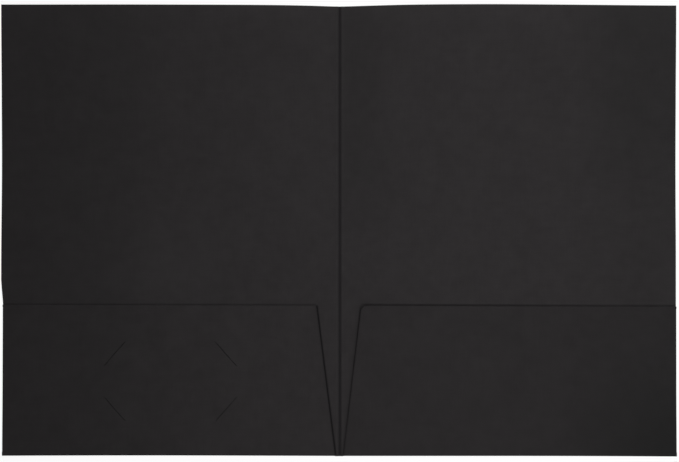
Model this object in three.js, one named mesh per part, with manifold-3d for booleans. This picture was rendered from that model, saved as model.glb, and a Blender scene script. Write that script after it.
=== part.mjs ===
// A two-pocket presentation folder lying open on a table, its inside up. Millimetres, +Z up.
// The origin is the middle of the open folder's footprint on the table. +X runs across it towards the
// back cover, and +Y runs from the pockets' bottom folds to the top edge.
// The real folder is one die-cut sheet of cover card. Here it is its two covers, divided at the score
// of the spine, which is where it opens and closes. Each cover is one folded piece: the panel, the
// pocket turned up from the bottom edge, and the tab that glues the pocket's outer side down.

import * as THREE from "three";
import { mergeVertices } from "three/addons/utils/BufferGeometryUtils.js";
import Module from "manifold-3d";

const wasm = await Module();
wasm.setup();

// Card stock
const cardThickness = 0.36;
const cardColour = 0x2a2829;
const cardRoughness = 0.78;

// Open folder
const folderHeight = 304.8;
const frontWidth = 229.4;
const backWidth = 227.8;
const spineGap = 0.3; // between the two covers at the score
const spineFoot = 0.3; // how far the cut edge at the spine stands below the bottom folds

// Pockets. A reach is a distance out from the spine.
const pocketHeight = 101.6;
const frontPocketTopReach = 16.1;
const frontPocketFootReach = 3.3;
const backPocketTopReach = 14.5;
const backPocketFootReach = 2.4;
const backPocketCornerCut = 2.3; // small cut off the back pocket's top corner beside the spine

// Glue tabs, turned in under the pockets' outer sides
const tabWidth = 16;
const tabEndSlant = 5; // how much each end of a tab slopes in towards its free side
const tabFootClearance = 3; // from the bottom fold to the tab's lower end
const tabTopClearance = 1.5; // from the pocket's top edge to the tab's upper end
const foldGap = 0.16; // air between the tab and the pocket
const glueBite = 0.04; // how far the two glued faces are let into each other

// Outer edge of the front cover, cut back beside its pocket
const edgeInset = 1.4;
const edgeInsetRun = 16.3; // height of the slanted stretch above the pocket's top edge

// Four slits in the front pocket that hold the corners of a business card
const slitWidth = 0.45;
const slitOuterX = 44.7; // from the middle of the card to a slit's outer end
const slitOuterY = 10.6;
const slitInnerX = 30.7; // from the middle of the card to a slit's inner end
const slitInnerY = 26.6;
const slitsReach = 114.6; // from the spine to the middle of the card
const slitsHeight = 50.3; // from the bottom fold to the middle of the card

// Spine fold. Its axis lies above the card, so that the pockets clear each other when it is closed.
const closedClearance = 0.4;
const closedAngle = 179;

const arcSteps = 10; // facets in a half-round fold
const foldLeg = 1.5; // straight card modelled on each side of a tab's fold
const cutMargin = 5; // how far a cutting body reaches past what it cuts

// Places worked out from the sizes above
const overallWidth = frontWidth + backWidth;
const spineX = frontWidth - overallWidth / 2;
const topY = folderHeight / 2;
const bottomY = -folderHeight / 2;
const foldY = bottomY + spineFoot;
const pocketTopY = foldY + pocketHeight;
const tabLowY = foldY + tabFootClearance;
const tabHighY = pocketTopY - tabTopClearance;
const tabZ = cardThickness - glueBite;
const pocketZ = 2 * cardThickness + foldGap;
const pocketTopZ = pocketZ + cardThickness;
const bottomFoldRadius = pocketTopZ / 2;
const tabFoldRadius = (pocketTopZ - tabZ) / 2;
const pivotZ = pocketTopZ + closedClearance / 2;

// The two covers differ in the side of the spine that they lie on and in these sizes.
const front = {
  name: "front_cover",
  side: -1,
  width: frontWidth,
  pocketTopReach: frontPocketTopReach,
  pocketFootReach: frontPocketFootReach,
  cornerCut: 0,
  edgeInset,
  hasSlits: true,
};
const back = {
  name: "back_cover",
  side: 1,
  width: backWidth,
  pocketTopReach: backPocketTopReach,
  pocketFootReach: backPocketFootReach,
  cornerCut: backPocketCornerCut,
  edgeInset: 0,
  hasSlits: false,
};

// A three.js geometry as a solid that can be joined and cut.
function solid(geometry) {
  const bare = geometry.clone();
  bare.deleteAttribute("normal");
  bare.deleteAttribute("uv");
  const merged = mergeVertices(bare, 1e-5);
  return new wasm.Manifold(
    new wasm.Mesh({
      numProp: 3,
      vertProperties: merged.attributes.position.array,
      triVerts: new Uint32Array(merged.index.array),
    }),
  );
}

// A solid back as a three.js geometry with flat faces.
function geometryOf(body) {
  const mesh = body.getMesh();
  const geometry = new THREE.BufferGeometry();
  geometry.setAttribute("position", new THREE.BufferAttribute(mesh.vertProperties, 3));
  geometry.setIndex(new THREE.BufferAttribute(mesh.triVerts, 1));
  const flat = geometry.toNonIndexed();
  flat.computeVertexNormals();
  return flat;
}

// A level plate between two heights, its outline a list of [reach, y] points.
function plate(cover, outline, fromZ, toZ) {
  const points = outline.map(([reach, y]) => new THREE.Vector2(spineX + cover.side * reach, y));
  const geometry = new THREE.ExtrudeGeometry(new THREE.Shape(points), {
    depth: toZ - fromZ,
    bevelEnabled: false,
  });
  return solid(geometry.translate(0, 0, fromZ));
}

// The section of card folded back over itself in a half-round between two levels. The fold's outside
// ends at 0, and the legs run out along the first axis to their own lengths.
function hairpin(lowZ, highZ, lowLeg, highLeg) {
  const outer = (highZ - lowZ) / 2;
  const inner = outer - cardThickness;
  const middleZ = (highZ + lowZ) / 2;
  const arc = (radius) =>
    Array.from({ length: arcSteps + 1 }, (_, i) => {
      const angle = -Math.PI / 2 - (i / arcSteps) * Math.PI;
      return new THREE.Vector2(
        outer + radius * Math.cos(angle),
        middleZ + radius * Math.sin(angle),
      );
    });
  return new THREE.Shape([
    new THREE.Vector2(lowLeg, lowZ),
    ...arc(outer),
    new THREE.Vector2(highLeg, highZ),
    new THREE.Vector2(highLeg, highZ - cardThickness),
    ...arc(inner).reverse(),
    new THREE.Vector2(lowLeg, lowZ + cardThickness),
  ]);
}

// The panel and its pocket as one strip turned up at the bottom, as wide as the cover.
function foldedStrip(cover) {
  const section = hairpin(0, pocketTopZ, topY - foldY, pocketHeight);
  const depth = cover.width - spineGap / 2;
  const strip = new THREE.ExtrudeGeometry(section, { depth, bevelEnabled: false });
  const acrossTheFolder = new THREE.Matrix4().makeBasis(
    new THREE.Vector3(0, 1, 0),
    new THREE.Vector3(0, 0, 1),
    new THREE.Vector3(1, 0, 0),
  );
  strip.applyMatrix4(acrossTheFolder);
  const startX = cover.side > 0 ? spineX + spineGap / 2 : spineX - cover.width;
  return solid(strip.translate(startX, foldY, 0));
}

// The half-round where the pocket's outer side turns in to the glue tab.
function tabFold(cover) {
  const section = hairpin(tabZ, pocketTopZ, foldLeg, foldLeg);
  const depth = tabHighY - tabLowY;
  const fold = new THREE.ExtrudeGeometry(section, { depth, bevelEnabled: false });
  const upTheFolder = new THREE.Matrix4().makeBasis(
    new THREE.Vector3(1, 0, 0),
    new THREE.Vector3(0, 0, 1),
    new THREE.Vector3(0, -1, 0),
  );
  fold.applyMatrix4(upTheFolder);
  fold.translate(0, depth / 2, 0);
  if (cover.side > 0) fold.rotateZ(Math.PI);
  const outerX = spineX + cover.side * (cover.width - cover.edgeInset);
  return solid(fold.translate(outerX, (tabLowY + tabHighY) / 2, 0));
}

// The flat of the glue tab, its ends sloping in towards the free side.
function glueTab(cover) {
  const outerReach = cover.width - cover.edgeInset - tabFoldRadius;
  const freeReach = cover.width - cover.edgeInset - tabWidth;
  const outline = [
    [outerReach, tabLowY],
    [outerReach, tabHighY],
    [freeReach, tabHighY - tabEndSlant],
    [freeReach, tabLowY + tabEndSlant],
  ];
  return plate(cover, outline, tabZ, tabZ + cardThickness);
}

// What is cut away over the panel between the pocket's slanted inner edge and the spine.
function pocketInnerCut(cover) {
  const slope = (cover.pocketTopReach - cover.pocketFootReach) / pocketHeight;
  const edgeReach = (y) => cover.pocketFootReach + slope * (y - foldY);
  const outline = [
    [-cutMargin, foldY - cutMargin],
    [edgeReach(foldY - cutMargin), foldY - cutMargin],
    [edgeReach(pocketTopY + cutMargin), pocketTopY + cutMargin],
    [-cutMargin, pocketTopY + cutMargin],
  ];
  return plate(cover, outline, cardThickness, pocketTopZ + cutMargin);
}

// The small cut off the pocket's top corner beside the spine.
function pocketCornerCut(cover) {
  const reach = cover.pocketTopReach;
  const cut = cover.cornerCut;
  const outline = [
    [reach + cut + cutMargin, pocketTopY + cutMargin],
    [reach - cut - cutMargin, pocketTopY + cutMargin],
    [reach - cut - cutMargin, pocketTopY - 2 * cut - cutMargin],
  ];
  return plate(cover, outline, cardThickness, pocketTopZ + cutMargin);
}

// What is cut off the outer edge beside the pocket: a slanted stretch, then a straight one.
function outerEdgeCut(cover) {
  const outline = [
    [cover.width, pocketTopY + edgeInsetRun],
    [cover.width - cover.edgeInset, pocketTopY],
    [cover.width - cover.edgeInset, foldY - cutMargin],
    [cover.width + cutMargin, foldY - cutMargin],
    [cover.width + cutMargin, pocketTopY + edgeInsetRun],
  ];
  return plate(cover, outline, -cutMargin, pocketTopZ + cutMargin);
}

// The room that the tab's fold takes at the pocket's outer side.
function tabFoldRoom(cover) {
  const outerReach = cover.width - cover.edgeInset;
  const outline = [
    [outerReach - tabFoldRadius, tabLowY],
    [outerReach + cutMargin, tabLowY],
    [outerReach + cutMargin, tabHighY],
    [outerReach - tabFoldRadius, tabHighY],
  ];
  return plate(cover, outline, cardThickness, pocketTopZ + cutMargin);
}

// The panel's cut edge at the foot of the spine, where no pocket is turned up.
function footOfSpine(cover) {
  const outline = [
    [spineGap / 2, bottomY],
    [cover.pocketFootReach - spineFoot, bottomY],
    [cover.pocketFootReach, foldY],
    [cover.pocketFootReach, foldY + bottomFoldRadius],
    [spineGap / 2, foldY + bottomFoldRadius],
  ];
  return plate(cover, outline, 0, cardThickness);
}

// One of the four card slits, through the pocket only. The signs pick the corner.
function cardSlit(cover, signX, signY) {
  const outer = new THREE.Vector2(signX * slitOuterX, signY * slitOuterY);
  const inner = new THREE.Vector2(signX * slitInnerX, signY * slitInnerY);
  const along = inner.clone().sub(outer);
  const across = new THREE.Vector2(-along.y, along.x).setLength(slitWidth / 2);
  const corners = [
    outer.clone().add(across),
    inner.clone().add(across),
    inner.clone().sub(across),
    outer.clone().sub(across),
  ];
  const outline = corners.map((p) => [slitsReach + p.x, foldY + slitsHeight + p.y]);
  return plate(cover, outline, pocketZ - foldGap / 2, pocketTopZ + cutMargin);
}

function coverSolid(cover) {
  let body = foldedStrip(cover).subtract(pocketInnerCut(cover));
  if (cover.cornerCut > 0) body = body.subtract(pocketCornerCut(cover));
  if (cover.edgeInset > 0) body = body.subtract(outerEdgeCut(cover));
  body = body.subtract(tabFoldRoom(cover));
  body = body.add(tabFold(cover)).add(glueTab(cover)).add(footOfSpine(cover));
  if (cover.hasSlits) {
    for (const signX of [-1, 1]) {
      for (const signY of [-1, 1]) body = body.subtract(cardSlit(cover, signX, signY));
    }
  }
  return body;
}

function coverMesh(cover) {
  const material = new THREE.MeshStandardMaterial({
    color: cardColour,
    roughness: cardRoughness,
    metalness: 0,
  });
  const mesh = new THREE.Mesh(geometryOf(coverSolid(cover)), material);
  mesh.name = cover.name;
  return mesh;
}

// The front cover hangs on the spine fold: turning this group about Y closes the folder.
const spineFold = new THREE.Group();
spineFold.name = "spine_fold";
spineFold.position.set(spineX, 0, pivotZ);
spineFold.userData = { axis: [0, 1, 0], rangeDegrees: [0, closedAngle] };
const frontCover = coverMesh(front);
frontCover.position.set(-spineX, 0, -pivotZ);
spineFold.add(frontCover);

const folder = new THREE.Group();
folder.add(coverMesh(back), spineFold);

export default folder;
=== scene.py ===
"""The looks of a two-pocket presentation folder that lies open on a table, its inside up.

The two covers are each one sheet of black card, folded up at the bottom into a pocket and turned in at
the pocket's outer side into a glue tab. A narrow strip of the same card joins them along the spine.
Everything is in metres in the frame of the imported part: +X to the back cover, +Y to the top edge, +Z up.
"""

import math

import bmesh
import bpy
import numpy as np
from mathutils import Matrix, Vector


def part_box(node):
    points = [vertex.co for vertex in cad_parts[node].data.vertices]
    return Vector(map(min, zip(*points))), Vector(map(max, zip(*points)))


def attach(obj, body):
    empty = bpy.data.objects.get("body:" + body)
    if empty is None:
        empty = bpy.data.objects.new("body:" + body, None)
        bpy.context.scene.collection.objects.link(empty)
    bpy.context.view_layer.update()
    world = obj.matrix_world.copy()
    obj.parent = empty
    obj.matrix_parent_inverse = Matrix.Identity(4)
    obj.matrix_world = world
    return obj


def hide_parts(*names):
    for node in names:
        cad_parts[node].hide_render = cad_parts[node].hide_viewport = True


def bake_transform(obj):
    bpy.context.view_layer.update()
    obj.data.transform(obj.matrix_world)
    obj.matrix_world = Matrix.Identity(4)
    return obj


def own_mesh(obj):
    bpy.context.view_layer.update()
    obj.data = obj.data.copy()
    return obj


bl_info = {
    "name": "Presentation folder",
    "version": (1, 0, 0),
    "blender": (4, 5, 0),
    "location": "View3D > Sidebar > Folder",
    "description": "Builds an open two-pocket presentation folder of black card, and its stage",
    "category": "Add Mesh",
}

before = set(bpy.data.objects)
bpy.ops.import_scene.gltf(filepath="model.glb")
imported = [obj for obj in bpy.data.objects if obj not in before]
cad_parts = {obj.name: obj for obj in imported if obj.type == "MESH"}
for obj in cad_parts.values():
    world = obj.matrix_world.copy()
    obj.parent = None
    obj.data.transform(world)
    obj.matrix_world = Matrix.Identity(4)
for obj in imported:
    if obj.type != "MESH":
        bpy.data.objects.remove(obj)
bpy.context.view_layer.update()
FRONT_LOW, FRONT_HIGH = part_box("front_cover")
BACK_LOW, BACK_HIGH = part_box("back_cover")

MM = 0.001
PHOTO_WIDTH = 679

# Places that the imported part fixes
SPINE_X = (FRONT_HIGH.x + BACK_LOW.x) / 2
TOP_Y = FRONT_HIGH.y
BOTTOM_Y = FRONT_LOW.y
POCKET_FACE_Z = FRONT_HIGH.z


class FolderSizes(bpy.types.PropertyGroup):
    """Sizes of the card and of what is cut and folded in it."""

    card: bpy.props.FloatProperty(
        name="Card", description="Thickness of the cover card", default=0.36 * MM, unit="LENGTH"
    )
    pocket_height: bpy.props.FloatProperty(
        name="Pocket height",
        description="From the bottom fold to a pocket's top edge",
        default=101.6 * MM,
        unit="LENGTH",
    )
    spine_foot: bpy.props.FloatProperty(
        name="Spine foot",
        description="How far the cut edge at the spine stands below the bottom folds",
        default=0.3 * MM,
        unit="LENGTH",
    )
    tab_width: bpy.props.FloatProperty(
        name="Glue tab",
        description="Width of the tab that is turned in under a pocket's outer side",
        default=16 * MM,
        unit="LENGTH",
    )
    slit_width: bpy.props.FloatProperty(
        name="Slit width",
        description="Width of the four slits for a business card",
        default=0.45 * MM,
        unit="LENGTH",
    )
    groove_depth: bpy.props.FloatProperty(
        name="Groove depth",
        description="How deep the spine's score is pressed into the card",
        default=0.26 * MM,
        unit="LENGTH",
    )
    closed_share: bpy.props.FloatProperty(
        name="Closed share",
        description="Share of the card's waviness that is left when the folder is closed",
        default=0.4,
        subtype="FACTOR",
    )


class FolderColours(bpy.types.PropertyGroup):
    """Colours of the card, each written as it looks in plain light."""

    card: bpy.props.FloatVectorProperty(
        name="Card",
        description="The black card",
        default=(0.0165, 0.0152, 0.0157),
        subtype="COLOR",
        size=3,
    )
    card_light: bpy.props.FloatVectorProperty(
        name="Card, paler",
        description="The card where its mottling is palest",
        default=(0.0200, 0.0185, 0.0191),
        subtype="COLOR",
        size=3,
    )
    # Also what the painted highlight along the spine's shoulders goes towards
    rubbed: bpy.props.FloatVectorProperty(
        name="Rubbed edges",
        description="The card's edges and folds, where handling has greyed them",
        default=(0.040, 0.038, 0.039),
        subtype="COLOR",
        size=3,
    )
    # Painted shade: what the darker outer sides, corners and band beside the spine go towards
    painted_shade_colour: bpy.props.FloatVectorProperty(
        name="Painted shade",
        description="What the soiled parts of the card darken towards",
        default=(0.005, 0.0062, 0.0056),
        subtype="COLOR",
        size=3,
    )
    # Painted shade: what the back cover's pocket darkens towards
    pocket_shade_colour: bpy.props.FloatVectorProperty(
        name="Back pocket",
        description="What the back cover's pocket darkens towards",
        default=(0.0058, 0.0054, 0.0056),
        subtype="COLOR",
        size=3,
    )
    # Painted shade: what the spine's scored groove darkens towards
    pressed: bpy.props.FloatVectorProperty(
        name="Score",
        description="What the pressed score of the spine darkens towards",
        default=(0.006, 0.0055, 0.006),
        subtype="COLOR",
        size=3,
    )
    shade: bpy.props.FloatVectorProperty(
        name="Pocket shade",
        description="The dark lines along the pockets' free edges",
        default=(0.003, 0.0027, 0.003),
        subtype="COLOR",
        size=3,
    )
    floor: bpy.props.FloatVectorProperty(
        name="Floor",
        description="The table top that the folder lies on",
        default=(0.82, 0.82, 0.82),
        subtype="COLOR",
        size=3,
    )


class FolderStage(bpy.types.PropertyGroup):
    """The camera and the light."""

    camera_height: bpy.props.FloatProperty(
        name="Camera height",
        description="Height of the camera above the table",
        default=0.5,
        unit="LENGTH",
    )
    key_power: bpy.props.FloatProperty(
        name="Key light", description="Power of the lamp above", default=5.2, unit="POWER"
    )
    side_power: bpy.props.FloatProperty(
        name="Side light", description="Power of the lamp at the right", default=6.0, unit="POWER"
    )
    ambient: bpy.props.FloatProperty(
        name="Room light",
        description="Strength of the even light from all round, where 1 is white",
        default=0.06,
        subtype="FACTOR",
    )


def smooth(t):
    """The smooth step 3tt - 2ttt, held at 0 below t = 0 and at 1 above t = 1."""
    t = np.clip(t, 0, 1)
    return t * t * (3 - 2 * t)


def step(value, start, run):
    """The smooth step that is 0 up to the start and 1 from where its run ends."""
    return smooth((value - start) / run)


def bell(value, middle, width):
    """A soft bump round a middle value: exp(-((value - middle) / width) squared)."""
    return np.exp(-(((value - middle) / width) ** 2))


def graded(count, crowding=0.9):
    """Numbers from 0 to 1, closer together at both ends: t less a share of sin(2 pi t) / (2 pi)."""
    t = np.linspace(0, 1, count)
    return t - crowding * np.sin(2 * np.pi * t) / (2 * np.pi)


class Cover:
    """What differs between the two covers, in metres. A reach is a distance out from the spine."""

    def __init__(self, name, side, width, foot_reach, top_reach, corner_cut, inset, inset_run):
        self.name = name
        self.side = side
        self.width = width
        self.foot_reach = foot_reach
        self.top_reach = top_reach
        self.corner_cut = corner_cut
        self.inset = inset
        self.inset_run = inset_run

    def x(self, reach):
        return SPINE_X + self.side * reach

    def reach(self, x):
        return self.side * (x - SPINE_X)


FRONT = Cover(
    name="front_cover",
    side=-1,
    width=SPINE_X - FRONT_LOW.x,
    foot_reach=3.3 * MM,
    top_reach=16.1 * MM,
    corner_cut=0,
    inset=1.4 * MM,
    inset_run=16.3 * MM,
)
BACK = Cover(
    name="back_cover",
    side=1,
    width=BACK_HIGH.x - SPINE_X,
    foot_reach=2.4 * MM,
    top_reach=14.5 * MM,
    corner_cut=2.3 * MM,
    inset=0,
    inset_run=16.3 * MM,
)

# How the card lies, by cover: how far it rises off the table and from where, how far its outer side dips,
# how it is skewed, how far the pocket stands off and hangs, and how far the outer side is drawn in
LIE = {
    "front_cover": {
        "top_rise": 3.2 * MM,
        "rise_reach": 24 * MM,
        "rise_power": 1.3,
        "fall_share": 0.34,
        "fall_from": 130 * MM,
        "corner_rise": 1.9 * MM,
        "corner_from": 75 * MM,
        "side_dip": 0.9 * MM,
        "skew": 0.0030,
        "mouth_gape": 0.45 * MM,
        "mouth_drop": 0.0,
        "edge_gape": 0.5 * MM,
        "draw_low": 0.47 * MM,
        "draw_high": 1.15 * MM,
    },
    "back_cover": {
        "top_rise": 5.3 * MM,
        "rise_reach": 35 * MM,
        "rise_power": 1.4,
        "fall_share": 0.62,
        "fall_from": 92 * MM,
        "corner_rise": 1.3 * MM,
        "corner_from": 110 * MM,
        "side_dip": 0.6 * MM,
        "skew": 0.0,
        "mouth_gape": 1.1 * MM,
        "mouth_drop": 0.65 * MM,
        "edge_gape": 0.45 * MM,
        "draw_low": 0.47 * MM,
        "draw_high": 0.93 * MM,
    },
}

# Glue tabs
TAB_FOOT_CLEARANCE = 3 * MM
TAB_TOP_CLEARANCE = 1.5 * MM
TAB_END_SLANT = 5 * MM
GLUE_BITE = 0.04 * MM
STEP_ROW = 0.12 * MM  # between the two rows at which a pocket's outer side steps in to its fold

# Card slits
SLITS_REACH = 114.6 * MM
SLITS_HEIGHT = 50.3 * MM
SLIT_OUTER = (44.7 * MM, 10.6 * MM)
SLIT_INNER = (30.7 * MM, 26.6 * MM)
SLIT_LIFT = 0.6 * MM
SLIT_LIFT_REACH = 9 * MM
SLIT_CUT_DEPTH = 1.3  # in thicknesses of the card

# Heights in the flat cover: above the first lies the pocket, above the second its card clear of the tab,
# and over the third the card's lie goes over from the panel's to the pocket's
POCKET_FROM_Z = POCKET_FACE_Z * 0.45
POCKET_CARD_FROM_Z = POCKET_FACE_Z * 0.6
POCKET_STEP_Z = POCKET_FACE_Z * 0.2

# How the sheet's free edges move, beyond the sizes by cover above
EDGE_GAPE_REACH = 9 * MM
EDGE_GAPE_UP = 0.25  # share of the pocket's height over which its inner edge comes free
MOUTH_FREE_SHARE = 0.5  # share of a cover's width over which the mouth comes free of the glued side
MOUTH_RISE = 0.3 * MM
FALL_STRETCH = 1.15  # the run of the top edge's fall, as a multiple of the way left to the outer edge
FOOT_DRAW = 0.6  # share of draw_low that is left at the bottom fold
TOP_DRAW_BACK = 0.2 * MM

# Spine score
GROOVE_WIDTH = 1.0 * MM
# How wide the painted shade in the groove is
SCORE_SHADE_WIDTH = 1.05 * MM
SHOULDER_PLACE = 2.1 * MM
SHOULDER_WIDTH = 0.4 * MM
SHOULDER_HEIGHT = 0.03 * MM
GROOVE_WAVER = ((0.12, 7.3 * MM, 0.0), (0.08, 2.9 * MM, 1.3))  # share of the depth, length, start

# How strong each mark on the card is, as a share of the full one, and how far the rubbed edges and the
# paler strip along the top edge reach
RUB_WIDTH = 0.25 * MM
POCKET_EDGE_RUB = 0.2
# Painted shade: the band beside the spine, the covers' outer sides and the back cover's corners
SPINE_SHADE = 0.2
FRONT_SIDE_SHADE = 0.16
BACK_SIDE_SHADE = 0.14
FOOT_CORNER_SHADE = 0.65
HEAD_CORNER_SHADE = 0.22
# Painted shade over the back cover's pocket, and more in its outer half
POCKET_SHADE = 0.3
OUTER_POCKET_SHADE = 0.12
TOP_PALE_REACH = 10.5 * MM
PATCH_PALE = 0.85

# How far the card's colour goes towards the colour of each mark, painted shade and highlight among them,
# and how the noise breaks up the wear
POCKET_SHADE_SHARE = 0.55
PALE_SHARE = 0.11
PAINTED_SHADE_SHARE = 0.55
SCORE_SHADE_SHARE = 0.8
WEAR_SHARE = 0.15
WEAR_CONTRAST = 2.6
WEAR_OFFSET = -0.8

# The shade along the pockets' inner edges and mouths: how far from the edge its line lies on the panel,
# how wide it is and how dark. A pair is for the front and the back cover.
INNER_SHADE_PLACE = (0.6 * MM, 0.1 * MM)
INNER_SHADE_WIDTH = (0.7 * MM, 1.1 * MM)
INNER_SHADE = (0.9, 0.3)
MOUTH_SHADE_PLACE = 0.7 * MM
MOUTH_SHADE_WIDTH = 0.55 * MM
MOUTH_SHADE = (0.2, 0.45)

# Rows and columns of the grids
COLUMNS = 96
PANEL_ROWS = 110
FOLD_ROWS = 13
POCKET_ROWS = 52
TAB_COLUMNS = 12
SPINE_ROWS = 160
SPINE_COLUMNS = 34


def settings():
    """The three property groups."""
    scene = bpy.context.scene
    return scene.folder_sizes, scene.folder_colours, scene.folder_stage


def fold_y():
    """Where the outside of the bottom folds lies."""
    return BOTTOM_Y + settings()[0].spine_foot


def pocket_top_y():
    """Where the pockets' top edges lie."""
    return fold_y() + settings()[0].pocket_height


def up_share(points):
    """How high each point lies up the cover, from 0 at the bottom fold to 1 at the top edge."""
    return (points[:, 1] - fold_y()) / (TOP_Y - fold_y())


def sheet_shell(outer, inner):
    """A closed mesh between two grids of points, rows by columns: the quads of both grids, and a wall of
    quads along each of the four borders. Returns points and faces, the faces pointing outwards."""
    rows, columns = outer.shape[:2]
    points = np.concatenate([outer.reshape(-1, 3), inner.reshape(-1, 3)])
    index = np.arange(rows * columns).reshape(rows, columns)
    under = index + rows * columns

    def quads(grid):
        corners = [grid[:-1, :-1], grid[:-1, 1:], grid[1:, 1:], grid[1:, :-1]]
        return np.stack(corners, axis=-1).reshape(-1, 4)

    rim = np.concatenate([index[0, :-1], index[:-1, -1], index[-1, :0:-1], index[:0:-1, 0]])
    low_rim = np.concatenate([under[0, :-1], under[:-1, -1], under[-1, :0:-1], under[:0:-1, 0]])
    walls = np.stack([rim, low_rim, np.roll(low_rim, -1), np.roll(rim, -1)], axis=-1)
    faces = np.concatenate([quads(index), quads(under)[:, ::-1], walls])
    a, b, c, d = (points[faces[:, i]] for i in range(4))
    volume = np.einsum("ij,ij->i", a, np.cross(b, c) + np.cross(c, d)).sum()
    return points, faces if volume > 0 else faces[:, ::-1]


def make_mesh(name, shells):
    """One mesh object of several closed shells, each given as points and quads."""
    counts = np.cumsum([0] + [len(points) for points, _ in shells])
    points = np.concatenate([points for points, _ in shells])
    faces = np.concatenate([quads + start for (_, quads), start in zip(shells, counts)])
    mesh = bpy.data.meshes.new(name)
    mesh.from_pydata(points.tolist(), [], faces.tolist())
    mesh.validate()
    piece = bpy.data.objects.new(name, mesh)
    bpy.context.scene.collection.objects.link(piece)
    return piece


def points_of(piece):
    """The piece's vertices as an array."""
    co = np.zeros(len(piece.data.vertices) * 3, np.float32)
    piece.data.vertices.foreach_get("co", co)
    return co.reshape(-1, 3).astype(float)


def put_points(piece, points):
    """Gives the piece's vertices new places."""
    piece.data.vertices.foreach_set("co", points.astype(np.float32).ravel())
    piece.data.update()


def set_attribute(piece, name, values):
    """Stores one number for each vertex, for the material to read."""
    attribute = piece.data.attributes.new(name, "FLOAT", "POINT")
    attribute.data.foreach_set("value", values.astype(np.float32))


def set_flat_place(piece, points):
    """Stores where each vertex lies in the flat sheet, for the material to draw lines that stay with it."""
    attribute = piece.data.attributes.new("flat", "FLOAT_VECTOR", "POINT")
    attribute.data.foreach_set("vector", points.astype(np.float32).ravel())


def shade(piece, sharp_degrees=35):
    """Smooth shading that stops at the card's cut edges."""
    piece.data.shade_smooth()
    piece.data.set_sharp_from_angle(angle=math.radians(sharp_degrees))


def outer_reach(cover, y):
    """The reach of a cover's cut outer edge: its width, less an inset that grows evenly from none at the
    top of the slanted stretch to all of it at the pocket's top edge and below."""
    share = np.clip((pocket_top_y() + cover.inset_run - y) / cover.inset_run, 0, 1)
    return cover.width - cover.inset * share


def inner_reach(cover, y):
    """The reach of a pocket's inner edge: a straight slant from its foot to its top, and at the top a
    corner cut at 45 degrees."""
    up = (y - fold_y()) / settings()[0].pocket_height
    slant = cover.foot_reach + (cover.top_reach - cover.foot_reach) * up
    corner = cover.top_reach + cover.corner_cut - (pocket_top_y() - y)
    return np.maximum(slant, corner) if cover.corner_cut else slant


def folded_sheet(cover):
    """Panel, bottom fold and pocket as one shell. The middle of the card runs level from the top edge,
    round half a circle at the fold and level again to the pocket's top edge, and half the card's
    thickness lies on each side of it. Each row runs from the inner to the outer edge at its height."""
    card = settings()[0].card
    radius = POCKET_FACE_Z / 2
    bend_y = fold_y() + radius
    tab_low = fold_y() + TAB_FOOT_CLEARANCE
    tab_high = pocket_top_y() - TAB_TOP_CLEARANCE
    tab_radius = (POCKET_FACE_Z - card + GLUE_BITE) / 2

    panel_y = TOP_Y + (bend_y - TOP_Y) * graded(PANEL_ROWS)
    steps = [tab_low - STEP_ROW, tab_low, tab_high, tab_high + STEP_ROW]
    if cover.corner_cut:
        steps.append(pocket_top_y() - cover.corner_cut)
    pocket_y = bend_y + (pocket_top_y() - bend_y) * graded(POCKET_ROWS)
    pocket_y = np.unique(np.concatenate([pocket_y, steps]))
    turn = np.linspace(-np.pi / 2, -3 * np.pi / 2, FOLD_ROWS)[1:-1]

    middle = radius - card / 2
    y = np.concatenate([panel_y, bend_y + middle * np.cos(turn), pocket_y])
    z = np.concatenate(
        [
            np.full(len(panel_y), card / 2),
            radius + middle * np.sin(turn),
            np.full(len(pocket_y), POCKET_FACE_Z - card / 2),
        ]
    )
    out_y = np.concatenate([np.zeros(len(panel_y)), np.cos(turn), np.zeros(len(pocket_y))])
    out_z = np.concatenate([-np.ones(len(panel_y)), np.sin(turn), np.ones(len(pocket_y))])

    on_pocket = np.arange(len(y)) >= len(panel_y) + len(turn)
    start = np.where(on_pocket, inner_reach(cover, y), cover.foot_reach)
    end = outer_reach(cover, y)
    beside_tab = on_pocket & (y > tab_low - STEP_ROW / 2) & (y < tab_high + STEP_ROW / 2)
    end = np.where(beside_tab, end - tab_radius, end)

    reach = start[:, None] + (end - start)[:, None] * graded(COLUMNS)[None, :]
    centre = np.stack(
        [cover.x(reach), np.broadcast_to(y[:, None], reach.shape), np.broadcast_to(z[:, None], reach.shape)],
        axis=-1,
    )
    half = np.stack([np.zeros_like(y), out_y, out_z], axis=-1)[:, None, :] * card / 2
    return sheet_shell(centre + half, centre - half)


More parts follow.
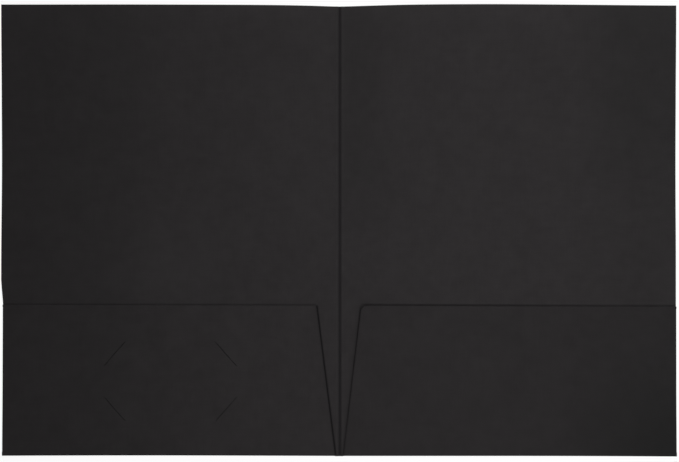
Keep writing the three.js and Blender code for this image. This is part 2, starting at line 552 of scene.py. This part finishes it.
def folded_tab(cover):
    """The glue tab as a shell of its own: from the pocket's outer side round a half circle, and in under
    the pocket to the tab's free side. The tab's ends slope in evenly towards that side."""
    sizes = settings()[0]
    card = sizes.card
    low_z = card - GLUE_BITE
    radius = (POCKET_FACE_Z - low_z) / 2
    edge = cover.width - cover.inset
    turn = np.linspace(np.pi / 2, -np.pi / 2, FOLD_ROWS)
    tab = np.linspace(edge - radius, edge - sizes.tab_width, TAB_COLUMNS)[1:]
    middle = radius - card / 2
    reach = np.concatenate([edge - radius + middle * np.cos(turn), tab])
    z = np.concatenate([low_z + radius + middle * np.sin(turn), np.full(len(tab), low_z + card / 2)])
    out_reach = np.concatenate([np.cos(turn), np.zeros(len(tab))])
    out_z = np.concatenate([np.sin(turn), -np.ones(len(tab))])

    slope = np.concatenate([np.zeros(len(turn)), np.linspace(0, TAB_END_SLANT, TAB_COLUMNS)[1:]])
    low_y = fold_y() + TAB_FOOT_CLEARANCE + slope
    high_y = pocket_top_y() - TAB_TOP_CLEARANCE - slope
    up = np.linspace(0, 1, POCKET_ROWS)
    y = low_y[None, :] + (high_y - low_y)[None, :] * up[:, None]
    shape = y.shape
    centre = np.stack(
        [cover.x(np.broadcast_to(reach, shape)), y, np.broadcast_to(z, shape)], axis=-1
    )
    half = np.stack([cover.side * out_reach, np.zeros_like(z), out_z], axis=-1)[None] * card / 2
    return sheet_shell(centre + half, centre - half)


def slit_cutter(sign_x, sign_y):
    """A thin upright box along one card slit, through the pocket's card only."""
    sizes = settings()[0]
    outer = np.array([sign_x * SLIT_OUTER[0], sign_y * SLIT_OUTER[1]])
    inner = np.array([sign_x * SLIT_INNER[0], sign_y * SLIT_INNER[1]])
    along = (inner - outer) / np.linalg.norm(inner - outer)
    across = np.array([-along[1], along[0]]) * sizes.slit_width / 2
    middle = np.array([FRONT.x(SLITS_REACH), fold_y() + SLITS_HEIGHT])
    corners = middle + np.array([[outer - across, inner - across], [outer + across, inner + across]])
    low_z = POCKET_FACE_Z - SLIT_CUT_DEPTH * sizes.card
    high_z = POCKET_FACE_Z + sizes.card
    low = np.concatenate([corners, np.full((2, 2, 1), low_z)], axis=-1)
    high = np.concatenate([corners, np.full((2, 2, 1), high_z)], axis=-1)
    return sheet_shell(high, low)


def add_shell(piece, shell):
    """Adds another closed shell to the piece's mesh."""
    extra = bpy.data.meshes.new("extra")
    points, faces = shell
    extra.from_pydata(points.tolist(), [], faces.tolist())
    both = bmesh.new()
    both.from_mesh(piece.data)
    both.from_mesh(extra)
    both.to_mesh(piece.data)
    both.free()
    bpy.data.meshes.remove(extra)


def cut_slits(piece):
    """Cuts the four slits out of the front pocket."""
    cutters = [slit_cutter(sign_x, sign_y) for sign_x in (-1, 1) for sign_y in (-1, 1)]
    cutter = make_mesh("slit_cutters", cutters)
    cut = piece.modifiers.new("slits", "BOOLEAN")
    cut.operation = "DIFFERENCE"
    cut.solver = "EXACT"
    cut.object = cutter
    graph = bpy.context.evaluated_depsgraph_get()
    made = bpy.data.meshes.new_from_object(piece.evaluated_get(graph))
    piece.modifiers.clear()
    piece.data = made
    bpy.data.objects.remove(cutter)


def slit_lift(points):
    """How far the card stands up beside each slit, on the side towards the middle of the business card.
    It is most at the middle of the slit's length, none at its ends, and fades away from the slit."""
    x = points[:, 0] - FRONT.x(SLITS_REACH)
    y = points[:, 1] - (fold_y() + SLITS_HEIGHT)
    fold = np.stack([np.abs(x), np.abs(y)], axis=-1)
    outer, inner = np.array(SLIT_OUTER), np.array(SLIT_INNER)
    length = np.linalg.norm(inner - outer)
    along = (inner - outer) / length
    across = np.array([along[1], -along[0]])
    t = (fold - outer) @ along / length
    away = (fold - outer) @ -across
    beside = np.where(away > 0, np.exp(-away / SLIT_LIFT_REACH), 0)
    return SLIT_LIFT * beside * np.sin(np.pi * np.clip(t, 0, 1)) ** 2


def mouth_fall(cover, points):
    """How much lower the pocket's card hangs towards its outer side, less how much higher its mouth lies
    all along: a smooth step in the reach and an even rise, both times the fourth power of the height up
    the pocket."""
    reach = cover.reach(points[:, 0])
    pocket_up = np.clip((points[:, 1] - fold_y()) / settings()[0].pocket_height, 0, 1)
    return (LIE[cover.name]["mouth_drop"] * smooth(reach / cover.width) - MOUTH_RISE) * pocket_up**4


def lie(cover, points, base_z):
    """How a cover's card lies: the points moved from the flat sheet. The top edge rises from the spine
    strip as 1 - exp(-(reach / rise_reach) ** rise_power) and falls again to the outer edge, the bottom
    corner rises with the square of the reach past corner_from, and a smooth step joins the two from the
    bottom to the top. The outer side dips between them, with the square of the reach times the square of
    a half sine up the cover. The pocket's card stands off further, with the square of the height up the
    pocket and away from its glued side, and at its inner edge by an amount that fades with the distance
    from it, and its mouth hangs by mouth_fall. The outer side is drawn in with the square of the reach,
    by draw_low near the pocket and draw_high in the upper half, and less at the bottom fold and the top
    edge. The skew moves the card up the cover evenly with the reach."""
    how = LIE[cover.name]
    reach = cover.reach(points[:, 0])
    up = up_share(points)
    from_strip = np.clip(reach - cover.foot_reach, 0, None)
    rise = 1 - np.exp(-((from_strip / how["rise_reach"]) ** how["rise_power"]))
    fall_reach = FALL_STRETCH * (cover.width - how["fall_from"])
    fall = 1 - how["fall_share"] * step(reach, start=how["fall_from"], run=fall_reach)
    corner = np.clip((reach - how["corner_from"]) / (cover.width - how["corner_from"]), 0, 1) ** 2
    share = smooth(up)
    height = how["top_rise"] * rise * fall * share + how["corner_rise"] * corner * (1 - share)
    height -= how["side_dip"] * (reach / cover.width) ** 2 * np.sin(np.pi * np.clip(up, 0, 1)) ** 2

    on_pocket = step(base_z, start=POCKET_FROM_Z, run=POCKET_STEP_Z)
    pocket_up = np.clip((points[:, 1] - fold_y()) / settings()[0].pocket_height, 0, 1)
    from_tab = cover.width - settings()[0].tab_width - reach
    free = smooth(from_tab / (MOUTH_FREE_SHARE * cover.width))
    height += how["mouth_gape"] * on_pocket * pocket_up**2 * free
    from_edge = np.clip(reach - inner_reach(cover, points[:, 1]), 0, None)
    beside_edge = np.exp(-from_edge / EDGE_GAPE_REACH) * smooth(pocket_up / EDGE_GAPE_UP)
    height += how["edge_gape"] * on_pocket * beside_edge

    drawn = how["draw_low"] * (FOOT_DRAW + (1 - FOOT_DRAW) * step(up, start=0, run=0.15))
    drawn += (how["draw_high"] - how["draw_low"]) * step(up, start=0.42, run=0.26)
    drawn -= TOP_DRAW_BACK * step(up, start=0.8, run=0.2)

    moved = points.copy()
    moved[:, 0] -= cover.side * drawn * (reach / cover.width) ** 2
    moved[:, 1] += how["skew"] * reach
    moved[:, 1] -= on_pocket * mouth_fall(cover, points)
    moved[:, 2] += height
    return moved


def rub(cover, points, base_z):
    """How rubbed the card is, from 0 to 1: most at the cut edges and the folds, a little at the pocket's
    free edges, and fading over a fraction of a millimetre."""
    reach = cover.reach(points[:, 0])
    y = points[:, 1]
    distances = [np.abs(outer_reach(cover, y) - reach), np.abs(TOP_Y - y), np.abs(y - fold_y())]
    mask = sum(np.exp(-d / RUB_WIDTH) for d in distances)
    on_pocket = base_z > POCKET_CARD_FROM_Z
    pocket_edges = np.exp(-np.abs(reach - inner_reach(cover, y)) / RUB_WIDTH)
    pocket_edges += np.exp(-np.abs(pocket_top_y() - y) / RUB_WIDTH)
    return np.clip(mask + POCKET_EDGE_RUB * on_pocket * pocket_edges, 0, 1)


def spine_shade_band(points):
    """A faint band of painted shade beside the spine in the upper half of the back cover: a bell across the
    band times a smooth step up the cover."""
    band = bell(BACK.reach(points[:, 0]), middle=8 * MM, width=22 * MM)
    return SPINE_SHADE * band * step(up_share(points), start=0.45, run=0.2)


def painted_shade(cover, points, base_z):
    """How much painted shade the inside of the card has, from 0 to 1. Each cover darkens a little towards
    its outer edge, by a smooth step in the reach. The back cover also has the band beside the spine, and a
    darker outer corner at its foot and another at its head, each by the product of two smooth steps."""
    reach = cover.reach(points[:, 0])
    on_inside = base_z > settings()[0].card / 2
    if cover is FRONT:
        return FRONT_SIDE_SHADE * step(reach, start=105 * MM, run=60 * MM) * on_inside
    up = up_share(points)
    side = BACK_SIDE_SHADE * step(reach, start=150 * MM, run=70 * MM)
    foot = step(reach, start=135 * MM, run=90 * MM) * (1 - step(up, start=0, run=0.28))
    head = step(reach, start=155 * MM, run=35 * MM) * step(up, start=0.55, run=0.2)
    marks = spine_shade_band(points) + side + FOOT_CORNER_SHADE * foot + HEAD_CORNER_SHADE * head
    return np.clip(marks, 0, 1) * on_inside


def top_strip(points):
    """How much paler the inside is along the top edge: exp(-distance / TOP_PALE_REACH)."""
    return np.exp(-np.clip(TOP_Y - points[:, 1], 0, None) / TOP_PALE_REACH)


def paled(cover, points, base_z):
    """How much paler the inside of the card is, from 0 to 1: the strip along the top edge, and on the
    front cover's panel above its pocket a patch that is a bell both ways."""
    on_inside = base_z > settings()[0].card / 2
    strip = top_strip(points)
    if cover is BACK:
        return strip * on_inside
    across = bell(cover.reach(points[:, 0]), middle=118 * MM, width=36 * MM)
    patch = across * bell(up_share(points), middle=0.425, width=0.11) * (base_z < POCKET_FROM_Z)
    return np.clip(strip + PATCH_PALE * patch, 0, 1) * on_inside


def pocket_painted_shade(cover, points, base_z):
    """How much painted shade darkens the back cover's pocket below its panel, from 0 to 1: an even share
    all over, and more in its outer half by a smooth step in the reach."""
    if cover is FRONT:
        return np.zeros(len(points))
    outer = step(cover.reach(points[:, 0]), start=100 * MM, run=60 * MM)
    return (POCKET_SHADE + OUTER_POCKET_SHADE * outer) * (base_z > POCKET_FROM_Z)


def make_cover(cover, material):
    """One cover with its pocket and tab, laid as the card lies, riding on its own body."""
    piece = make_mesh(cover.name + "_card", [folded_sheet(cover)])
    if cover is FRONT:
        cut_slits(piece)
    add_shell(piece, folded_tab(cover))
    points = points_of(piece)
    base_z = points[:, 2].copy()
    set_attribute(piece, "rub", rub(cover, points, base_z))
    # Painted shade towards the outer sides and corners and beside the spine
    set_attribute(piece, "painted_shade", painted_shade(cover, points, base_z))
    # Painted shade over the back cover's pocket
    set_attribute(piece, "pocket_painted_shade", pocket_painted_shade(cover, points, base_z))
    set_attribute(piece, "paled", paled(cover, points, base_z))
    flat = points.copy()
    flat[:, 1] += mouth_fall(cover, points) * (base_z < POCKET_FROM_Z)
    set_flat_place(piece, flat)
    moved = lie(cover, points, base_z)
    if cover is FRONT:
        moved[:, 2] += slit_lift(points) * (base_z > POCKET_CARD_FROM_Z)
    put_points(piece, moved)
    shade(piece)
    piece.data.materials.clear()
    piece.data.materials.append(material)
    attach(piece, cover.name)
    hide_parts(cover.name)
    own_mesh(piece)
    return piece


def make_spine(material):
    """The strip of card along the spine, from one cover's panel to the other's. Its inside is pressed
    down in a groove, the depth times a bell across it, with a low shoulder on each side, and the groove's
    depth wavers along the spine as a sum of sines. The strip is rubbed at its ends, paler at its shoulders
    as a painted highlight, has the band of painted shade towards the back cover, painted shade where it is
    pressed, and is paler at its top end."""
    sizes = settings()[0]
    x = np.linspace(SPINE_X - FRONT.foot_reach, SPINE_X + BACK.foot_reach, SPINE_COLUMNS)
    y = BOTTOM_Y + (TOP_Y - BOTTOM_Y) * graded(SPINE_ROWS, crowding=0.6)
    grid_x, grid_y = np.meshgrid(x, y)
    from_line = grid_x - SPINE_X
    groove = bell(from_line, middle=0, width=GROOVE_WIDTH)
    shoulder = bell(np.abs(from_line), middle=SHOULDER_PLACE, width=SHOULDER_WIDTH)
    waver = 1 + sum(share * np.sin(grid_y / length + start) for share, length, start in GROOVE_WAVER)
    inside = sizes.card - sizes.groove_depth * waver * groove + SHOULDER_HEIGHT * shoulder
    upper = np.stack([grid_x, grid_y, inside], axis=-1)
    lower = np.stack([grid_x, grid_y, np.zeros_like(inside)], axis=-1)
    piece = make_mesh("spine_card", [sheet_shell(upper, lower)])
    points = points_of(piece)
    on_inside = points[:, 2] > sizes.card / 8  # lower than the floor of the groove
    from_line = points[:, 0] - SPINE_X
    ends = np.exp(-np.minimum(TOP_Y - points[:, 1], points[:, 1] - BOTTOM_Y) / RUB_WIDTH)
    beside = bell(np.abs(from_line), middle=SHOULDER_PLACE, width=SHOULDER_WIDTH)
    # At the shoulders this is a painted highlight on the score's ridges; at the ends it is wear
    set_attribute(piece, "rub", np.clip(ends + beside * on_inside, 0, 1))
    share = smooth(from_line / BACK.foot_reach)
    # Painted shade: the band beside the spine, on the back cover's side
    set_attribute(piece, "painted_shade", spine_shade_band(points) * share * on_inside)
    # Painted shade in the score's groove
    set_attribute(piece, "pressed", bell(from_line, middle=0, width=SCORE_SHADE_WIDTH) * on_inside)
    set_attribute(piece, "paled", top_strip(points) * on_inside)
    set_flat_place(piece, points)
    shade(piece)
    piece.data.materials.append(material)
    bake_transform(piece)
    return piece


class Nodes:
    """A node tree and the few calls that this file needs to fill it."""

    def __init__(self, tree):
        self.tree = tree

    def add(self, kind, links=None, **settings_of_node):
        """Adds a node, sets its properties, and links or sets its inputs by name or number."""
        node = self.tree.nodes.new(kind)
        for key, value in settings_of_node.items():
            setattr(node, key, value)
        for key, value in (links or {}).items():
            socket = node.inputs[key]
            if isinstance(value, bpy.types.NodeSocket):
                self.tree.links.new(value, socket)
            else:
                socket.default_value = value
        return node

    def math(self, operation, a, b=0.0, clamp=False):
        node = self.add("ShaderNodeMath", {0: a, 1: b}, operation=operation, use_clamp=clamp)
        return node.outputs[0]

    def attribute(self, name, output="Fac"):
        return self.add("ShaderNodeAttribute", attribute_name=name).outputs[output]

    def noise(self, vector, scale, detail=2.0, roughness=0.5):
        links = {"Vector": vector, "Scale": scale, "Detail": detail, "Roughness": roughness}
        return self.add("ShaderNodeTexNoise", links).outputs["Fac"]

    def stretched(self, vector, scale):
        node = self.add("ShaderNodeMapping", {"Vector": vector, "Scale": scale})
        return node.outputs["Vector"]


def new_group(name, inputs, outputs):
    """An empty shader node group with named sockets. Returns its nodes, input node and output node."""
    group = bpy.data.node_groups.new(name, "ShaderNodeTree")
    for socket, kind, default in inputs:
        made = group.interface.new_socket(socket, in_out="INPUT", socket_type=kind)
        if default is not None:
            made.default_value = default
    for socket, kind in outputs:
        group.interface.new_socket(socket, in_out="OUTPUT", socket_type=kind)
    nodes = Nodes(group)
    return nodes, nodes.add("NodeGroupInput"), nodes.add("NodeGroupOutput")


def tooth_group():
    """The card's fine tooth: short felted fibres that lie across and along the sheet, over a finer
    grain. Puts out a height and a mottle, both about 0 to 1."""
    nodes, given, out = new_group(
        "card_tooth",
        [("Vector", "NodeSocketVector", None), ("Fibres", "NodeSocketFloat", 0.5)],
        [("Height", "NodeSocketFloat"), ("Mottle", "NodeSocketFloat")],
    )
    vector = given.outputs["Vector"]
    across = nodes.noise(nodes.stretched(vector, (420, 1500, 900)), 1.0, 2.0)
    along = nodes.noise(nodes.stretched(vector, (1500, 420, 900)), 1.0, 2.0)
    grain = nodes.noise(vector, 2600.0, 3.0, 0.6)
    fibres = nodes.math("MAXIMUM", across, along)
    share = given.outputs["Fibres"]
    kept = nodes.math("SUBTRACT", 1.0, share)
    height = nodes.math("ADD", nodes.math("MULTIPLY", fibres, share), nodes.math("MULTIPLY", grain, kept))
    nodes.tree.links.new(height, out.inputs["Height"])
    parts = (
        (nodes.noise(vector, 38.0, 3.0, 0.55), 0.25),
        (nodes.noise(vector, 150.0, 3.0, 0.6), 0.3),
        (nodes.noise(nodes.stretched(vector, (60, 900, 60)), 1.0, 2.0), 0.15),
        (nodes.noise(nodes.stretched(vector, (900, 60, 60)), 1.0, 2.0), 0.15),
        (height, 0.15),
    )
    mottle = 0.0
    for part, share in parts:
        mottle = nodes.math("ADD", nodes.math("MULTIPLY", part, share), mottle)
    nodes.tree.links.new(mottle, out.inputs["Mottle"])
    return nodes.tree


def pocket_shade_group():
    """The shade along the pockets' free edges. For a place in the flat sheet it is the greater of two
    masks, each exp(-(distance / width) squared) times how dark that edge is drawn: one for the slanted
    inner edge, below the mouth only, and one for the mouth, from the inner edge outwards only. It is none
    on the outside of the covers."""
    nodes, given, out = new_group(
        "pocket_shade",
        [("Vector", "NodeSocketVector", None)],
        [("Mask", "NodeSocketFloat")],
    )
    height = settings()[0].pocket_height
    place = nodes.add("ShaderNodeSeparateXYZ", {0: given.outputs["Vector"]}).outputs
    from_spine = nodes.math("SUBTRACT", place["X"], SPINE_X)
    on_back = nodes.math("GREATER_THAN", from_spine, 0.0)
    reach = nodes.math("ABSOLUTE", from_spine)
    up = nodes.math("SUBTRACT", place["Y"], fold_y())

    def by_cover(front, back):
        return nodes.math("ADD", nodes.math("MULTIPLY", on_back, back - front), front)

    def near(distance, width):
        scaled = nodes.math("DIVIDE", distance, width)
        square = nodes.math("MULTIPLY", scaled, scaled)
        return nodes.math("EXPONENT", nodes.math("MULTIPLY", square, -1.0))

    front_slant = (FRONT.top_reach - FRONT.foot_reach) / height
    back_slant = (BACK.top_reach - BACK.foot_reach) / height
    slant = nodes.math("MULTIPLY", by_cover(front_slant, back_slant), up)
    edge = nodes.math("ADD", slant, by_cover(FRONT.foot_reach, BACK.foot_reach))
    beside = nodes.math("SUBTRACT", edge, reach)
    above = nodes.math("SUBTRACT", up, height)
    from_line = nodes.math("SUBTRACT", beside, by_cover(*INNER_SHADE_PLACE))
    line = near(from_line, by_cover(*INNER_SHADE_WIDTH))
    inner = nodes.math("MULTIPLY", line, by_cover(*INNER_SHADE))
    inner = nodes.math("MULTIPLY", inner, nodes.math("LESS_THAN", above, 0.0))
    from_line = nodes.math("SUBTRACT", above, MOUTH_SHADE_PLACE)
    mouth = nodes.math("MULTIPLY", near(from_line, MOUTH_SHADE_WIDTH), by_cover(*MOUTH_SHADE))
    mouth = nodes.math("MULTIPLY", mouth, nodes.math("LESS_THAN", beside, 0.0))
    on_inside = nodes.math("GREATER_THAN", place["Z"], settings()[0].card / 2)
    mask = nodes.math("MULTIPLY", nodes.math("MAXIMUM", inner, mouth), on_inside)
    nodes.tree.links.new(mask, out.inputs["Mask"])
    return nodes.tree


def wear_group():
    """Handling wear, and on the spine's shoulders a painted highlight: an edge mask broken up by noise,
    so that a rubbed edge is uneven along its run.
    """
    nodes, given, out = new_group(
        "card_wear",
        [("Vector", "NodeSocketVector", None), ("Edge", "NodeSocketFloat", 0.0)],
        [("Mask", "NodeSocketFloat")],
    )
    patches = nodes.noise(given.outputs["Vector"], 160.0, 4.0, 0.6)
    spread = nodes.math("MULTIPLY_ADD", patches, WEAR_CONTRAST)
    spread.node.inputs[2].default_value = WEAR_OFFSET
    worn = nodes.math("MULTIPLY", given.outputs["Edge"], spread, clamp=True)
    nodes.tree.links.new(worn, out.inputs["Mask"])
    return nodes.tree


def card_material():
    """Matt black cover card, dyed through: mottled and finely toothed, then darkened or paled by each
    mark in turn. The marks are the painted shade over the back pocket, the paler top edge and patch, the
    painted shade towards the outer sides, the corners and beside the spine, the painted shade in the
    pressed score of the spine, the shade along the pockets' free edges and the rubbed edges, which on the
    spine's shoulders are a painted highlight."""
    colours = settings()[1]
    material = bpy.data.materials.new("black_cover_card")
    material.use_nodes = True
    nodes = Nodes(material.node_tree)
    shader = material.node_tree.nodes["Principled BSDF"]
    place = nodes.add("ShaderNodeTexCoord").outputs["Object"]

    tooth = nodes.add("ShaderNodeGroup", node_tree=tooth_group())
    nodes.tree.links.new(place, tooth.inputs["Vector"])
    wear = nodes.add("ShaderNodeGroup", node_tree=wear_group())
    nodes.tree.links.new(place, wear.inputs["Vector"])
    nodes.tree.links.new(nodes.attribute("rub"), wear.inputs["Edge"])
    shaded = nodes.add("ShaderNodeGroup", node_tree=pocket_shade_group())
    nodes.tree.links.new(nodes.attribute("flat", "Vector"), shaded.inputs["Vector"])

    def mixed(factor, a, b):
        node = nodes.add("ShaderNodeMix", {0: factor}, data_type="RGBA")
        for socket, value in ((node.inputs[6], a), (node.inputs[7], b)):
            if isinstance(value, bpy.types.NodeSocket):
                nodes.tree.links.new(value, socket)
            else:
                socket.default_value = (*value, 1.0)
        return node.outputs[2]

    mottle = nodes.add(
        "ShaderNodeMapRange",
        {"Value": tooth.outputs["Mottle"], "From Min": 0.40, "From Max": 0.60},
    ).outputs["Result"]
    colour = mixed(mottle, colours.card, colours.card_light)
    marks = (
        # Painted shade: the marks over the back pocket, towards the outer sides, corners and beside the
        # spine, and in the score's groove, and the shade along the pockets' edges; on the spine's shoulders
        # the wear mask is a painted highlight
        (nodes.attribute("pocket_painted_shade"), POCKET_SHADE_SHARE, colours.pocket_shade_colour),
        (nodes.attribute("paled"), PALE_SHARE, colours.rubbed),
        (nodes.attribute("painted_shade"), PAINTED_SHADE_SHARE, colours.painted_shade_colour),
        (nodes.attribute("pressed"), SCORE_SHADE_SHARE, colours.pressed),
        (shaded.outputs["Mask"], 1.0, colours.shade),
        (wear.outputs["Mask"], WEAR_SHARE, colours.rubbed),
    )
    for mask, share, towards in marks:
        colour = mixed(nodes.math("MULTIPLY", mask, share), colour, towards)
    nodes.tree.links.new(colour, shader.inputs["Base Color"])

    rough = nodes.add(
        "ShaderNodeMapRange",
        {"Value": tooth.outputs["Height"], "From Min": 0.3, "From Max": 0.7, "To Min": 0.66, "To Max": 0.82},
    ).outputs["Result"]
    nodes.tree.links.new(rough, shader.inputs["Roughness"])
    bump = nodes.add(
        "ShaderNodeBump",
        {"Height": tooth.outputs["Height"], "Strength": 0.5, "Distance": 0.00012},
    )
    nodes.tree.links.new(bump.outputs["Normal"], shader.inputs["Normal"])
    shader.inputs["Specular IOR Level"].default_value = 0.03
    return material


# Share of the even white in what is seen of the table top
FLOOR_WHITE_SHARE = 0.9


def floor_material():
    """A pale table top. What looks at it straight, or in a reflection, sees mostly an even white with
    the folder's soft shadow on it, and its light on the folder is that of a plain pale surface."""
    colours = settings()[1]
    material = bpy.data.materials.new("white_table")
    material.use_nodes = True
    nodes = Nodes(material.node_tree)
    material.node_tree.nodes.remove(material.node_tree.nodes["Principled BSDF"])
    output = material.node_tree.nodes["Material Output"]
    plain = nodes.add("ShaderNodeBsdfDiffuse", {"Color": (*colours.floor, 1.0)}).outputs[0]
    white = nodes.add("ShaderNodeEmission", {"Color": (1, 1, 1, 1), "Strength": 1.0}).outputs[0]
    light = nodes.add("ShaderNodeLightPath").outputs
    seen = nodes.math("MAXIMUM", light["Is Camera Ray"], light["Is Glossy Ray"])
    seen = nodes.math("MAXIMUM", seen, light["Is Transmission Ray"])
    share = nodes.math("MULTIPLY", seen, FLOOR_WHITE_SHARE)
    mix = nodes.add("ShaderNodeMixShader", {0: share, 1: plain, 2: white})
    nodes.tree.links.new(mix.outputs[0], output.inputs["Surface"])
    return material


def make_floor():
    """A plain table top, just under the card."""
    half = 3.0
    under = 0.05 * MM
    corners = [(-half, -half, -under), (half, -half, -under), (half, half, -under), (-half, half, -under)]
    mesh = bpy.data.meshes.new("table")
    mesh.from_pydata(corners, [], [(0, 1, 2, 3)])
    floor = bpy.data.objects.new("table", mesh)
    bpy.context.scene.collection.objects.link(floor)
    mesh.materials.append(floor_material())


# The lamps, each with its place, the point that it faces and its size across and along: one straight
# above the back cover, and one low and far off at the right
KEY_LAMP = ("key", (0.12, 0.05, 0.55), (0.12, 0.05, 0), (0.3, 1.0))
SIDE_LAMP = ("side", (1.6, 0.3, 0.9), (0, 0, 0), (0.8, 0.8))


def make_lamp(name, place, target, size, power):
    """A soft white lamp that faces a point, its size given across and along."""
    data = bpy.data.lights.new(name, "AREA")
    data.shape = "RECTANGLE"
    data.size, data.size_y = size
    data.energy = power
    lamp = bpy.data.objects.new(name, data)
    lamp.location = place
    lamp.rotation_euler = (Vector(target) - Vector(place)).to_track_quat("-Z", "Y").to_euler()
    bpy.context.scene.collection.objects.link(lamp)


def make_world(strength):
    """Even light from all round, seen as white."""
    world = bpy.data.worlds.new("room")
    bpy.context.scene.world = world
    world.use_nodes = True
    nodes = Nodes(world.node_tree)
    light = nodes.add("ShaderNodeLightPath").outputs
    seen = nodes.math("MAXIMUM", light["Is Camera Ray"], light["Is Glossy Ray"])
    seen = nodes.math("MAXIMUM", seen, light["Is Transmission Ray"])
    gap = nodes.math("MULTIPLY", seen, 1 - strength)
    level = nodes.math("ADD", gap, strength)
    nodes.tree.links.new(level, world.node_tree.nodes["Background"].inputs["Strength"])
    world.node_tree.nodes["Background"].inputs["Color"].default_value = (1, 1, 1, 1)


# The photograph's framing: pixels for each millimetre at the table, and what its middle looks at
PIXELS_PER_MM = 1.4745
VIEW_MIDDLE = (0.63 * MM, 0.23 * MM)
SENSOR_WIDTH = 36.0


def make_camera(height):
    """A camera that looks straight down on the folder."""
    data = bpy.data.cameras.new("camera")
    data.sensor_width = SENSOR_WIDTH
    data.lens = PIXELS_PER_MM * height / MM / PHOTO_WIDTH * SENSOR_WIDTH
    camera = bpy.data.objects.new("camera", data)
    camera.location = (*VIEW_MIDDLE, height)
    bpy.context.scene.collection.objects.link(camera)
    bpy.context.scene.camera = camera


class FOLDER_OT_covers(bpy.types.Operator):
    """Make the front and back covers with their pockets"""

    bl_idname = "folder.covers"
    bl_label = "Make covers"

    def execute(self, context):
        material = card_material()
        for cover in (FRONT, BACK):
            make_cover(cover, material)
        return {"FINISHED"}


class FOLDER_OT_spine(bpy.types.Operator):
    """Make the scored strip of card between the covers"""

    bl_idname = "folder.spine"
    bl_label = "Make spine"

    def execute(self, context):
        make_spine(bpy.data.materials["black_cover_card"])
        return {"FINISHED"}


class FOLDER_OT_stage(bpy.types.Operator):
    """Make the table, the light and the camera"""

    bl_idname = "folder.stage"
    bl_label = "Make stage"

    def execute(self, context):
        stage = settings()[2]
        context.scene.view_settings.view_transform = "Standard"
        make_floor()
        make_world(stage.ambient)
        make_lamp(*KEY_LAMP, stage.key_power)
        make_lamp(*SIDE_LAMP, stage.side_power)
        make_camera(stage.camera_height)
        return {"FINISHED"}


class FOLDER_PT_sidebar(bpy.types.Panel):
    """The folder's settings and buttons in the 3D view's sidebar."""

    bl_label = "Presentation folder"
    bl_space_type = "VIEW_3D"
    bl_region_type = "UI"
    bl_category = "Folder"

    def draw(self, context):
        layout = self.layout
        for group in settings():
            box = layout.box()
            for name in group.__annotations__:
                box.prop(group, name)
        for operator in OPERATORS:
            layout.operator(operator.bl_idname)


OPERATORS = (FOLDER_OT_covers, FOLDER_OT_spine, FOLDER_OT_stage)
GROUPS = {
    "folder_sizes": FolderSizes,
    "folder_colours": FolderColours,
    "folder_stage": FolderStage,
}


def register():
    for name, group in GROUPS.items():
        bpy.utils.register_class(group)
        setattr(bpy.types.Scene, name, bpy.props.PointerProperty(type=group))
    for cls in (*OPERATORS, FOLDER_PT_sidebar):
        bpy.utils.register_class(cls)


def unregister():
    for cls in reversed((*OPERATORS, FOLDER_PT_sidebar)):
        bpy.utils.unregister_class(cls)
    for name, group in reversed(GROUPS.items()):
        delattr(bpy.types.Scene, name)
        bpy.utils.unregister_class(group)


def main():
    register()
    bpy.ops.folder.covers()
    bpy.ops.folder.spine()
    bpy.ops.folder.stage()


if __name__ == "__main__":
    main()
